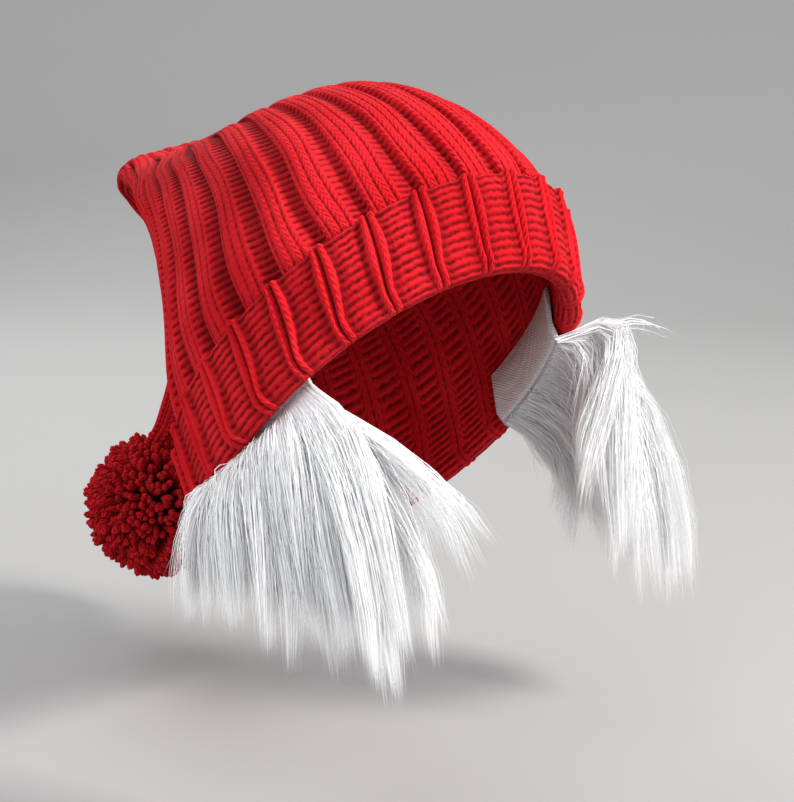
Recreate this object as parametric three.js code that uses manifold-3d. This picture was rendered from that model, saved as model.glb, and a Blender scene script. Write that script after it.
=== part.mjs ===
import * as THREE from 'three';
import Module from 'manifold-3d';

const wasm = await Module();
wasm.setup();

// A knitted stocking cap in its worn form, in millimetres. The face looks along -Y and +Z is up.
// The origin is the middle of the opening, where the head fills the cap.
const RIBS = 28;
const WALL = 4.5;
const CHANNEL_DEPTH = 2.6;
const RIB_CREST = 0.9;
const TAIL_RIBS = 14;
const RIB_DRIFT = { share: 0.14, from: 3.6, to: 8 };
const CUFF_TOP = 1.12;
const CUFF_WALL = 5.2;
const CUFF_CORD = 1.6;
const CUFF_PEAK = 0.05;
const HEM_DROP = 5.2;
const CLEARANCE = 0.4;
const POMPOM_CENTRE = new THREE.Vector3(4, 195, -86);
const POMPOM_CORE = 31;
const POMPOM_TUFTS = 31;
const POMPOM_RADIUS = 40;
const FUR_STRIP = 3;
const FUR_TUCK = 0.7;
const FUR_DROP = 8;
const LOCK_ROOT = -5;
const RIGHT_LEAVE = { down: 18, out: 4, sweep: 25 };
const LEFT_LEAVE = { down: 12, out: 48, sweep: 0 };
const RIGHT_BACK = 0.715;
const RIGHT_FRONT = 0.832;

// The knitted tube, one row per cross-section from the lower edge up over the crown and down the tail:
// front y and z, back y and z, half width, sideways shift of the middle, sideways skew of the front,
// drop of the right end, and how far the oval is flattened to straight sides (0 to 1).
const TUBE = [
  [-59, 79.5, 66.5, -73.5, 88.5, 1, 1, 0, 0],
  [-51, 108, 82, -48, 92.5, 1.5, 3, 1, 0],
  [-40.5, 125, 102, -15.5, 91, 1.5, 8, 5, 0],
  [-10.5, 141.5, 123.5, 21.5, 77.5, 2.5, 9.5, 3, 0],
  [30, 145.5, 140.5, 53, 63.5, 2.5, 6, 3, 0.1],
  [76, 133, 155, 78, 50.5, 0.5, 1.5, 7.5, 0.3],
  [118.5, 119.5, 161.5, 91, 39.5, 0.5, 0, 7.5, 0.6],
  [150.5, 110, 167, 94, 34.5, 1, 0, 7, 0.9],
  [169.5, 107, 169.5, 92.5, 31.5, 2, 0, 5, 0.9],
  [185.5, 98.5, 172, 89, 29, 4.5, 0, 6, 0.9],
  [189.5, 82, 173, 82, 24.5, 9, 0, 4, 0.8],
  [189, 62, 172, 61, 19, 18, 0, 2, 0.5],
  [189, 26, 171, 26, 16.5, 22, 0, 0, 0.3],
  [190, -10, 173, -10, 14.5, 20, 0, 0, 0.2],
  [194, -36, 179, -36, 11.5, 12, 0, 0, 0],
  [202, -52, 188, -52, 8, 6, 0, 0, 0],
  [203, -59, 189, -59, 8, 5, 0, 0, 0],
];
const CROWN_END = 7;
const TAIL_END = 15.3;

// The hanging hair, one row per lock: place along the strip from the back (0) to the front (1),
// tip x, y and z, and half breadth. The right row set is for the head's right side.
const RIGHT_LOCKS = [
  [0.02, -104, 14, -60, 11],
  [0.13, -101, 1, -63, 12],
  [0.26, -98, -13, -66, 12],
  [0.39, -94, -27, -66, 12],
  [0.52, -89, -41, -68, 12],
  [0.65, -82, -54, -74, 12],
  [0.78, -73, -68, -85, 12],
  [0.9, -62, -80, -84, 11],
  [0.98, -42, -98, -32, 8],
];
const LEFT_LOCKS = [
  [0.02, 136, -6, -74, 11],
  [0.13, 146, -18, -90, 12],
  [0.26, 153, -30, -99, 12],
  [0.39, 157, -41, -102, 12],
  [0.52, 157, -48, -99, 12],
  [0.65, 143, -50, -99, 12],
  [0.78, 122, -52, -92, 12],
  [0.9, 94, -54, -72, 11],
  [0.98, 62, -52, -40, 8],
];

function spline(column, s) {
  const i = Math.min(Math.max(Math.floor(s), 0), TUBE.length - 2);
  const at = (k) => TUBE[Math.min(Math.max(k, 0), TUBE.length - 1)][column];
  const [p0, p1, p2, p3] = [at(i - 1), at(i), at(i + 1), at(i + 2)];
  const t = s - i;
  const m1 = (p2 - p0) / 2;
  const m2 = (p3 - p1) / 2;
  const t2 = t * t;
  const t3 = t2 * t;
  return (2 * t3 - 3 * t2 + 1) * p1 + (t3 - 2 * t2 + t) * m1 + (3 * t2 - 2 * t3) * p2 + (t3 - t2) * m2;
}

// One cross-section: its middle, two unit directions and half sizes.
function section(s) {
  const [fy, fz, by, bz, half, shift, skew, drop, flat] = TUBE[0].map((_, c) => spline(c, s));
  const middle = new THREE.Vector3(shift, (fy + by) / 2, (fz + bz) / 2);
  const across = new THREE.Vector3(half, 0, drop);
  const deep = new THREE.Vector3(skew, (by - fy) / 2, (bz - fz) / 2);
  return {
    middle,
    a: across.length(),
    b: deep.length(),
    across: across.normalize(),
    deep: deep.normalize(),
    flat: Math.min(Math.max(flat, 0), 1),
  };
}

// The lower edge and the direction from the opening up into the cap.
const EDGE = section(0);
const AXIS = new THREE.Vector3().crossVectors(EDGE.across, EDGE.deep).normalize();

function ovalPoint(a, b, flat, angle) {
  const c = Math.cos(angle);
  const round = a * c;
  const straight = (a - b) * Math.min(Math.max(4 * c, -1), 1) + b * c;
  return [a > b ? round + (straight - round) * flat : round, b * Math.sin(angle)];
}

// Points at equal shares of the way around, starting at the front, with their outward normals.
function ringOf(sec, shares, inset) {
  const steps = 360;
  const a = sec.a - inset;
  const b = sec.b - inset;
  const curve = [];
  let length = 0;
  for (let i = 0; i <= steps; i++) {
    const p = ovalPoint(a, b, sec.flat, -Math.PI / 2 + (2 * Math.PI * i) / steps);
    if (i > 0) length += Math.hypot(p[0] - curve[i - 1][0], p[1] - curve[i - 1][1]);
    curve.push([p[0], p[1], length]);
  }
  return shares.map((share) => {
    const goal = (share - Math.floor(share)) * length;
    let i = 1;
    while (i < steps && curve[i][2] < goal) i++;
    const t = (goal - curve[i - 1][2]) / (curve[i][2] - curve[i - 1][2]);
    const x = curve[i - 1][0] + t * (curve[i][0] - curve[i - 1][0]);
    const y = curve[i - 1][1] + t * (curve[i][1] - curve[i - 1][1]);
    const before = curve[(i - 3 + steps) % steps];
    const after = curve[(i + 2) % steps];
    const nx = after[1] - before[1];
    const ny = before[0] - after[0];
    const n = Math.hypot(nx, ny);
    return { x, y, nx: nx / n, ny: ny / n };
  });
}

function place(sec, point, offset) {
  const x = point.x + point.nx * offset;
  const y = point.y + point.ny * offset;
  return sec.middle.clone().addScaledVector(sec.across, x).addScaledVector(sec.deep, y);
}

// The unit direction in which the tube runs on at a place around it.
function runDirection(s, share) {
  const back = section(s - 0.05);
  const ahead = section(s + 0.05);
  const p = place(back, ringOf(back, [share], 0)[0], 0);
  const q = place(ahead, ringOf(ahead, [share], 0)[0], 0);
  return q.sub(p).normalize();
}

function smooth(from, to, value) {
  const t = Math.min(Math.max((value - from) / (to - from), 0), 1);
  return t * t * (3 - 2 * t);
}

// The ribs lean round the tube toward the fold: the share of the way around by which they have moved on.
function drift(s) {
  return RIB_DRIFT.share * smooth(RIB_DRIFT.from, RIB_DRIFT.to, s);
}

function drifted(shares, s) {
  return shares.map((share) => share + drift(s));
}

// Joins rings of points into one closed body: the rings run from first to last, and the loop of rings
// closes on itself when closed is true, or ends in a middle point at each end when it is false.
function skin(rings, closed) {
  const points = [];
  const triangles = [];
  const start = rings.map((ring) => {
    const first = points.length;
    points.push(...ring);
    return first;
  });
  const bands = closed ? rings.length : rings.length - 1;
  for (let r = 0; r < bands; r++) {
    const next = (r + 1) % rings.length;
    const n = rings[r].length;
    const m = rings[next].length;
    const twice = n === 2 * m;
    const half = 2 * n === m;
    const count = Math.max(n, m);
    for (let j = 0; j < count; j++) {
      const k = (j + 1) % count;
      const lower = half ? Math.floor(j / 2) : j;
      const lowerNext = half ? Math.floor(k / 2) : k;
      const upper = twice ? Math.floor(j / 2) : j;
      const upperNext = twice ? Math.floor(k / 2) : k;
      const a = start[r] + lower;
      const b = start[r] + lowerNext;
      const c = start[next] + upper;
      const d = start[next] + upperNext;
      if (a !== b) triangles.push([a, b, d]);
      if (c !== d) triangles.push([a, d, c]);
    }
  }
  if (!closed) {
    for (const end of [0, rings.length - 1]) {
      const ring = rings[end];
      const middle = ring.reduce((sum, p) => sum.add(p), new THREE.Vector3()).divideScalar(ring.length);
      points.push(middle);
      for (let j = 0; j < ring.length; j++) {
        const a = start[end] + j;
        const b = start[end] + ((j + 1) % ring.length);
        triangles.push(end === 0 ? [points.length - 1, b, a] : [points.length - 1, a, b]);
      }
    }
  }
  return { points, triangles };
}

function geometryOf({ points, triangles }) {
  const geometry = new THREE.BufferGeometry();
  const flat = points.flatMap((p) => [p.x, p.y, p.z]);
  geometry.setAttribute('position', new THREE.Float32BufferAttribute(flat, 3));
  let volume = 0;
  for (const [a, b, c] of triangles) {
    volume += points[a].dot(new THREE.Vector3().crossVectors(points[b], points[c]));
  }
  geometry.setIndex(volume > 0 ? triangles.flat() : triangles.flatMap(([a, b, c]) => [a, c, b]));
  geometry.computeVertexNormals();
  return geometry;
}

function solidOf(body) {
  const index = geometryOf(body).getIndex().array;
  const vertProperties = new Float32Array(body.points.flatMap((p) => [p.x, p.y, p.z]));
  return new wasm.Manifold(new wasm.Mesh({ numProp: 3, vertProperties, triVerts: new Uint32Array(index) }));
}

function geometryOfSolid(solid) {
  const mesh = solid.getMesh();
  const geometry = new THREE.BufferGeometry();
  const flat = [];
  for (let i = 0; i < mesh.vertProperties.length; i += mesh.numProp) {
    flat.push(mesh.vertProperties[i], mesh.vertProperties[i + 1], mesh.vertProperties[i + 2]);
  }
  geometry.setAttribute('position', new THREE.Float32BufferAttribute(flat, 3));
  geometry.setIndex(Array.from(mesh.triVerts));
  geometry.computeVertexNormals();
  return geometry;
}

// Places around one rib with their levels: the crown has two edges and a crest on the knit part and two
// low points in the channel, the cuff has a raised cord, and the tail has narrower ribs.
const CROWN_PLACES = [[-0.3, 0], [0, 1], [0.3, 0], [0.42, -1], [0.58, -1]];
const CUFF_PLACES = [[0.24, 0], [0.34, 1], [0.66, 1], [0.76, 0]];
const TAIL_PLACES = [[-0.28, 0], [0, 1], [0.28, 0], [0.5, -1]];

function ribPlaces(ribs, places) {
  const around = [];
  for (let rib = 0; rib < ribs; rib++) {
    for (const [at, level] of places) around.push({ share: (rib + at) / ribs, level, odd: rib % 2 === 1 });
  }
  return around;
}

function ribOffset({ level, odd }, rise, merge) {
  if (level > 0) return RIB_CREST * rise;
  return level * CHANNEL_DEPTH * rise * (odd ? 1 - merge : 1);
}

// The crown: ribs start at the cuff, and every second channel closes up toward the fold.
function crownBody() {
  const around = ribPlaces(RIBS, CROWN_PLACES);
  const shares = around.map((p) => p.share);
  const outer = [0, 0.55, 1.1, 1.6, 2.3, 3.1, 4, 4.9, 5.7, 6.4, CROWN_END].map((s) => {
    const sec = section(s);
    const rise = smooth(0.9, 1.5, s) * (1 - 0.5 * smooth(4.5, CROWN_END, s));
    const merge = smooth(4.6, 6.4, s);
    return ringOf(sec, drifted(shares, s), 0).map((point, j) =>
      place(sec, point, ribOffset(around[j], rise, merge)),
    );
  });
  const innerShares = shares.filter((_, j) => j % 2 === 0);
  const inner = [CROWN_END, 6, 4.8, 3.5, 2.3, 1.1, 0].map((s) => {
    const sec = section(s);
    return ringOf(sec, drifted(innerShares, s), WALL).map((point) => place(sec, point, 0));
  });
  return skin([...outer, ...inner], true);
}

// The turned-up cuff: a hem under the crown's lower edge and a band up the outside, with raised cords
// in line with the crown's channels and a small peak over each cord.
function cuffBody() {
  const around = ribPlaces(RIBS, CUFF_PLACES);
  const shares = around.map((p) => p.share);
  const hem = (inset, drop) =>
    ringOf(EDGE, shares, 0).map((point) => place(EDGE, point, -inset).addScaledVector(AXIS, -drop));
  const face = (s, offset, cord, peak) =>
    around.map(({ share, level }) => {
      const sec = section(s + peak * CUFF_PEAK * level);
      return place(sec, ringOf(sec, [share], 0)[0], offset + CUFF_CORD * cord * level);
    });
  return skin(
    [
      hem(WALL, CLEARANCE),
      hem(WALL - 1.2, 4.2),
      hem(-2, HEM_DROP),
      hem(-CUFF_WALL - 0.4, 2),
      face(0.4, CUFF_WALL + 0.6, 1, 0),
      face(CUFF_TOP - 0.14, CUFF_WALL + 0.4, 1, 1),
      face(CUFF_TOP, CUFF_WALL - 2, 0.5, 1.5),
      face(CUFF_TOP - 0.02, CLEARANCE + 0.4, 0, 1),
      face(0.55, CLEARANCE, 0, 0),
      hem(-CLEARANCE, 0),
      hem(-CLEARANCE, CLEARANCE),
    ],
    true,
  );
}

// The tail: the tube runs over the fold and hangs as a gathered bundle down to the pompom.
function tailBody() {
  const around = ribPlaces(TAIL_RIBS, TAIL_PLACES);
  const shares = around.map((p) => p.share);
  const innerShares = shares.filter((_, j) => j % 2 === 0);
  const apart = (s, share, point) =>
    s > CROWN_END ? point : point.addScaledVector(runDirection(s, share + drift(s)), CLEARANCE);
  const inner = [14.2, 12.8, 11.4, 10.2, 9.3, 8.5, 7.7, CROWN_END].map((s) => {
    const sec = section(s);
    const wall = Math.min(WALL, 0.66 * sec.b);
    return ringOf(sec, drifted(innerShares, s), wall).map((point, j) =>
      apart(s, innerShares[j], place(sec, point, 0)),
    );
  });
  const outer = [CROWN_END, 7.6, 8.2, 8.8, 9.4, 10.2, 11.2, 12.6, 14, TAIL_END].map((s) => {
    const sec = section(s);
    const rise = 0.55 - 0.25 * smooth(11, TAIL_END, s);
    const merge = smooth(11, 14, s);
    return ringOf(sec, drifted(shares, s), 0).map((point, j) =>
      apart(s, shares[j], place(sec, point, ribOffset(around[j], rise, merge))),
    );
  });
  return skin([...inner, ...outer], false);
}

// A tapered lock or tuft around a curve, as rings of sides points with half sizes wide and thick.
function lockBody(curve, stops, wideAxis, sides) {
  const rings = stops.map(([t, wide, thick]) => {
    const at = curve.getPoint(t);
    const along = curve.getTangent(t);
    const across = wideAxis.clone().addScaledVector(along, -wideAxis.dot(along)).normalize();
    const out = new THREE.Vector3().crossVectors(along, across);
    return Array.from({ length: sides }, (_, k) => {
      const angle = (2 * Math.PI * k) / sides;
      return at
        .clone()
        .addScaledVector(across, wide * Math.cos(angle))
        .addScaledVector(out, thick * Math.sin(angle));
    });
  });
  return skin(rings, false);
}

// The pompom: yarn tufts all round a core, with a socket for the end of the tail.
function pompomGeometry() {
  const golden = Math.PI * (3 - Math.sqrt(5));
  let solid = wasm.Manifold.sphere(POMPOM_CORE, 12).translate(POMPOM_CENTRE.toArray());
  for (let i = 0; i < POMPOM_TUFTS; i++) {
    const up = 1 - (2 * i + 1) / POMPOM_TUFTS;
    const level = Math.sqrt(1 - up * up);
    const out = new THREE.Vector3(level * Math.cos(golden * i), level * Math.sin(golden * i), up);
    const reach = POMPOM_RADIUS - 1.2 * (1 + Math.cos(2.4 * i));
    const from = POMPOM_CENTRE.clone().addScaledVector(out, POMPOM_CORE - 6);
    const to = POMPOM_CENTRE.clone().addScaledVector(out, reach);
    const side = new THREE.Vector3(-out.y, out.x, 0.3).normalize();
    const stops = [
      [0, 6.2, 6.2],
      [0.75, 8.4, 8.4],
      [1, 5.6, 5.6],
    ];
    solid = solid.add(solidOf(lockBody(new THREE.LineCurve3(from, to), stops, side, 5)));
  }
  const shares = Array.from({ length: 24 }, (_, k) => k / 24);
  const socket = [12.4, 13, 13.6, 14.1, 14.6, TAIL_END].map((s) => {
    const sec = section(s);
    return ringOf(sec, shares, 0).map((point) => place(sec, point, RIB_CREST + CLEARANCE));
  });
  const onward = new THREE.Vector3().subVectors(section(TAIL_END).middle, section(TAIL_END - 0.3).middle);
  socket.push(socket.at(-1).map((point) => point.clone().addScaledVector(onward.normalize(), 2 * CLEARANCE)));
  const cut = skin(socket, false);
  return geometryOfSolid(solid.subtract(solidOf(cut)));
}

// One fur piece: a backing strip inside the lower edge and locks of long hair that hang from it.
function furGeometry(backShare, frontShare, locks, leaving) {
  const inset = WALL + 4 * CLEARANCE;
  const strip = (share, s, depth) => {
    const sec = section(Math.max(s, 0));
    const point = ringOf(sec, [share], inset + depth)[0];
    return place(sec, point, 0).addScaledVector(AXIS, s < 0 ? s : 0);
  };
  const profile = [[FUR_TUCK, 0], [0, 0], [-FUR_DROP, 0], [-FUR_DROP, 1], [0, 1], [FUR_TUCK, 1]];
  const stations = 6;
  const rings = Array.from({ length: stations }, (_, i) => {
    const share = backShare + ((frontShare - backShare) * i) / (stations - 1);
    return profile.map(([s, depth]) => strip(share, s, depth * FUR_STRIP));
  });
  let solid = solidOf(skin(rings, false));
  const margin = 0.06;
  for (const [along, x, y, z, breadth] of locks) {
    const share = backShare + (frontShare - backShare) * (margin + (1 - 2 * margin) * along);
    const start = strip(share, LOCK_ROOT, FUR_STRIP / 2);
    const outward = strip(share, LOCK_ROOT, 0).sub(strip(share, LOCK_ROOT, 1));
    const tip = new THREE.Vector3(x, y, z);
    const leave = start.clone().addScaledVector(AXIS, -leaving.down).addScaledVector(outward, leaving.out);
    leave.y -= leaving.sweep * along ** 3;
    const fall = start.clone().lerp(tip, 0.85);
    fall.z = tip.z + 0.6 * (start.z - tip.z);
    const curve = new THREE.CubicBezierCurve3(start, leave, fall, tip);
    const wideAxis = strip(share + 0.004, LOCK_ROOT, 1).sub(strip(share - 0.004, LOCK_ROOT, 1)).normalize();
    const stops = [
      [0, 0.7 * breadth, 1],
      [0.16, 0.8 * breadth, 1.6],
      [0.42, breadth, 0.6 * breadth],
      [0.78, 0.8 * breadth, 0.6 * breadth],
      [1, 0.15 * breadth, 0.15 * breadth],
    ];
    solid = solid.add(solidOf(lockBody(curve, stops, wideAxis, 5)));
  }
  return geometryOfSolid(solid);
}

function piece(name, geometry, color, roughness) {
  const material = new THREE.MeshStandardMaterial({ color, roughness, metalness: 0 });
  material.name = name;
  const mesh = new THREE.Mesh(geometry, material);
  mesh.name = name;
  return mesh;
}

const hat = new THREE.Group();
hat.name = 'knitted_santa_hat';
hat.add(
  piece('crown', geometryOf(crownBody()), 0xc4161f, 0.95),
  piece('cuff', geometryOf(cuffBody()), 0xbd141d, 0.95),
  piece('tail', geometryOf(tailBody()), 0xc0151e, 0.95),
  piece('pompom', pompomGeometry(), 0xb3121b, 1),
  piece('fur_right', furGeometry(RIGHT_BACK, RIGHT_FRONT, RIGHT_LOCKS, RIGHT_LEAVE), 0xf4f3f1, 0.8),
  piece('fur_left', furGeometry(1 - RIGHT_BACK, 1 - RIGHT_FRONT, LEFT_LOCKS, LEFT_LEAVE), 0xf5f4f2, 0.8),
);

export default hat;
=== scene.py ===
"""Knitted red santa hat as worn: turned-up cuff, folded tail, yarn pompom and white fur at the temples."""
import math

import bpy
import numpy as np
from mathutils import Matrix, Vector


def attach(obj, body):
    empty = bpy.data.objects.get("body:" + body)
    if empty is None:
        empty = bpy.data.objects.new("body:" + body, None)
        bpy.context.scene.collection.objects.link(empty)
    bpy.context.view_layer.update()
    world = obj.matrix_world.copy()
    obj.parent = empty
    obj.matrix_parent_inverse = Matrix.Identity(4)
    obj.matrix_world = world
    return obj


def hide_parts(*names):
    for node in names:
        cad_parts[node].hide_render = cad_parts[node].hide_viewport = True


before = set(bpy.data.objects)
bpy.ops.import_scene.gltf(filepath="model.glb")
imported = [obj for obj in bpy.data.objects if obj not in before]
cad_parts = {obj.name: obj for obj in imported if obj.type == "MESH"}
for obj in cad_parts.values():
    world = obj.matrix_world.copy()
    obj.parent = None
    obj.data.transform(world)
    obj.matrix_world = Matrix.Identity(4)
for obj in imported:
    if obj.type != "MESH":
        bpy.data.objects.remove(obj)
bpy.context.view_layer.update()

# Shapes are worked out in mm and stored in metres
MM = 0.001
TURN = 2 * math.pi

# Ribs around the hat, stitches in a repeat of the rib, knit ones among them, and start of the first repeat
RIBS = 28
STITCHES = 5
KNIT_STITCHES = 3
RIB_START = 0.3
# Thickness of the knit and height of one row of stitches
WALL = 4.5
ROW = 3.3

# Sections along the tube: front y and z, back y and z, half width, shift in x, skew in x, drop of the right
# end, and flatness from 0 to 1. A place along the tube is a row number in this table.
TUBE = np.array([
    [-59, 79.5, 66.5, -73.5, 88.5, 1, 1, 0, 0],
    [-51, 108, 82, -48, 92.5, 1.5, 3, 1, 0],
    [-40.5, 125, 102, -15.5, 91, 1.5, 8, 5, 0],
    [-10.5, 141.5, 123.5, 21.5, 77.5, 2.5, 9.5, 3, 0],
    [30, 145.5, 140.5, 53, 63.5, 2.5, 6, 3, 0.1],
    [76, 133, 155, 78, 50.5, 0.5, 1.5, 7.5, 0.3],
    [118.5, 119.5, 161.5, 91, 39.5, 0.5, 0, 7.5, 0.6],
    [150.5, 110, 167, 94, 34.5, 1, 0, 7, 0.9],
    [169.5, 107, 169.5, 92.5, 31.5, 2, 0, 5, 0.9],
    [185.5, 98.5, 172, 89, 29, 4.5, 0, 6, 0.9],
    [189.5, 82, 173, 82, 24.5, 9, 0, 4, 0.8],
    [189, 62, 172, 61, 19, 18, 0, 2, 0.5],
    [189, 26, 171, 26, 16.5, 22, 0, 0, 0.3],
    [190, -10, 173, -10, 14.5, 20, 0, 0, 0.2],
    [194, -36, 179, -36, 11.5, 12, 0, 0, 0],
    [202, -52, 188, -52, 8, 6, 0, 0, 0],
    [203, -59, 189, -59, 8, 5, 0, 0, 0],
], dtype=float)
OVAL_STEPS = 360
# How steeply the long sides of a flat section run from one round end to the other
FLAT_RUN = 4.0

# Places where the crown starts under the cuff and ends at the fold, and where the tail ends in the pompom
CROWN_START = 0.9
CROWN_END = 7.0
TAIL_END = 15.3
# Rows of points in each stretch of knit, and the row of stitches where the inside starts
CROWN_POINTS = 138
INSIDE_POINTS = 60
TAIL_POINTS = 110
INSIDE_START = 0.4

# Height across one repeat, in mm: three raised knit stitches, then two purl stitches that sink
CROWN_PROFILE = np.array([
    [0.0, -1.0], [0.12, -0.1], [0.3, 0.5], [0.6, 0.8], [1.0, 1.0], [1.5, 1.05], [2.0, 1.0], [2.5, 0.85],
    [2.8, 0.85], [2.95, 0.75], [3.1, 0.35], [3.25, -0.4], [3.5, -1.7], [3.9, -3.2], [4.3, -4.4], [4.6, -5.1],
    [4.8, -5.0], [4.92, -3.2], [5.0, -1.0],
])
# The same repeat on the cuff, seen from the back of the knit: three purl stitches, then two raised cords
CUFF_PROFILE = np.array([
    [0.0, -0.5], [0.3, -0.55], [0.8, -0.1], [1.5, 0.05], [2.2, -0.1], [2.7, -0.55], [2.98, -0.5],
    [3.12, 0.7], [3.3, 1.75], [3.5, 2.05], [3.68, 1.6], [3.8, 0.5], [3.9, -0.6], [4.0, -0.9],
    [4.1, -0.6], [4.2, 0.5], [4.32, 1.6], [4.5, 2.05], [4.7, 1.75], [4.88, 0.7], [5.0, -0.5],
])
# Where the points of a mesh lie across one repeat, counted in stitches
CROWN_STEPS = [
    0, 0.06, 0.15, 0.3, 0.55, 0.85, 1.2, 1.5, 1.8, 2.15, 2.45, 2.7,
    2.88, 3.02, 3.16, 3.32, 3.55, 3.85, 4.15, 4.4, 4.6, 4.78, 4.88, 4.95,
]
CUFF_STEPS = [
    0, 0.15, 0.35, 0.7, 1.1, 1.5, 1.9, 2.3, 2.65, 2.85, 3, 3.12,
    3.25, 3.4, 3.55, 3.7, 3.85, 4, 4.15, 4.3, 4.45, 4.6, 4.75, 4.88,
]
COARSE_STEPS = np.arange(0, STITCHES, 0.5)

# Height of the fine cords on the knit stitches, in mm, and the share of the ribs' height that shows inside
CORD = 0.28
INSIDE_RELIEF = 0.25
# Stitches between which a groove starts and ends, and the share of the next repeat that it reaches into
GROOVE_START = (2.5, 3.0)
GROOVE_END = (0.0, 0.4)
GROOVE_OVER = 0.12
# Every second group of grooves closes along the tube: from, to, height when closed, grooves in a group
CLOSINGS = [(4.7, 5.6, 0.8, 1), (9.4, 10.6, 0.6, 2)]
# Ribs get lower along the tube: from, to, share of the height that is lost
LOWERINGS = [(4.5, 7.0, 0.25), (7.0, 14.0, 0.3)]
# The forehead stretches the knit: shares from the front and places over which that fades, then how much of
# the ribs' height and of the grooves' painted shade it takes away
STRETCH_SHARES = (0.08, 0.24)
STRETCH_PLACES = (3.5, 6.0)
STRETCH_HEIGHT = 0.3
STRETCH_SHADE = 0.6
# Heights of the crown's ribs between which painted shade darkens the grooves
SHADE_HEIGHTS = (0.2, -3.6)
# Ribs lean round the tube: from, to, share of the way round
LEAN = (3.6, 8.0, 0.14)
# Uneven hand of the knit as slow waves: size, turn in each row, waves around. The first two move the ribs
# sideways by a share of the way round, the last moves them out by mm.
WANDER = [(0.0009, 0.23, 9), (0.0006, 0.43, -13)]
SWELL = (0.3, 0.37, 11)

# Cuff from the inner hem round the fold and up to the top edge: place along the tube, offset out, drop
CUFF_OUTLINE = np.array([
    [0, -4.3, -3.0], [0, -4.4, 0.4], [0, -3.3, 4.0], [0, 1.6, 5.2], [0, 5.4, 2.6], [0.1, 6.2, 0],
    [0.4, 5.9, 0], [0.7, 5.6, 0], [0.98, 5.4, 0], [1.06, 5.9, 0], [1.115, 5.0, 0], [1.12, 3.4, 0],
    [1.05, 2.2, 0],
])
# Steps along that outline, counted in its rows: from, to, points
CUFF_RUNS = [(0, 5, 22), (5, 8, 40), (8, 12, 16)]
# Steps between which the relief grows from the hem and fades behind the top edge, and how far it fades
RELIEF_GROWS = (1.0, 4.6)
RELIEF_FADES = (9.0, 11.4)
RELIEF_FADE = 0.75
# Steps over which the top edge gets its peaks, and stitches between which a peak rises and falls
PEAKS_GROW = (6.6, 8.6)
PEAK_RISES = (2.6, 3.5)
PEAK_FALLS = (4.5, 5.0)
# Height and base of a peak, and height of the loops on it, as ways along the tube
PEAK_HEIGHT = 0.042
PEAK_BASE = -0.01
LOOP_HEIGHT = 0.008
# Cords of a pair draw together at both ends of these steps and part between them, by parts of a stitch
PINCH_STEPS = (5.0, 8.4)
PINCH_MEAN = 0.08
PINCH_SWING = 0.16
# Slow wave in the cuff: mm, turn in each step, waves around, start, and the steps over which it grows
CUFF_WAVE = (0.35, 1.7, 5, 1.1)
CUFF_WAVE_GROWS = (5, 8)
# Heights of the cuff's relief between which painted shade darkens the grooves
CUFF_SHADE_HEIGHTS = (0.0, -0.95)
# Place with the cuff's stitch columns, and a short way along the tube that gives its direction there
CUFF_PLACE = 0.5
NEARBY = 0.05


def smooth(low, high, value):
    """Eased step from 0 at low to 1 at high."""
    t = np.clip((value - low) / (high - low), 0, 1)
    return t * t * (3 - 2 * t)


def hermite(table, place):
    """Rows of a table at fractional row numbers, on a smooth curve through all of them."""
    last = len(table) - 1
    place = np.clip(np.asarray(place, dtype=float), 0, last)
    i = np.minimum(place.astype(int), last - 1)
    t = (place - i)[:, None]
    p0, p1, p2, p3 = (table[np.clip(i + k, 0, last)] for k in (-1, 0, 1, 2))
    m1 = (p2 - p0) / 2
    m2 = (p3 - p1) / 2
    return ((2 * t**3 - 3 * t**2 + 1) * p1 + (t**3 - 2 * t**2 + t) * m1
            + (3 * t**2 - 2 * t**3) * p2 + (t**3 - t**2) * m2)


def bezier(p0, p1, p2, p3, t):
    """Points at each t of many curves at once."""
    t = t[None, :, None]
    p0, p1, p2, p3 = (p[:, None] for p in (p0, p1, p2, p3))
    return (1 - t)**3 * p0 + 3 * (1 - t)**2 * t * p1 + 3 * (1 - t) * t**2 * p2 + t**3 * p3


def unit(v):
    return v / np.linalg.norm(v, axis=-1, keepdims=True)


def running(points):
    """Distance travelled along a line of points."""
    return np.concatenate([[0], np.cumsum(np.linalg.norm(np.diff(points, axis=0), axis=1))])


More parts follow.
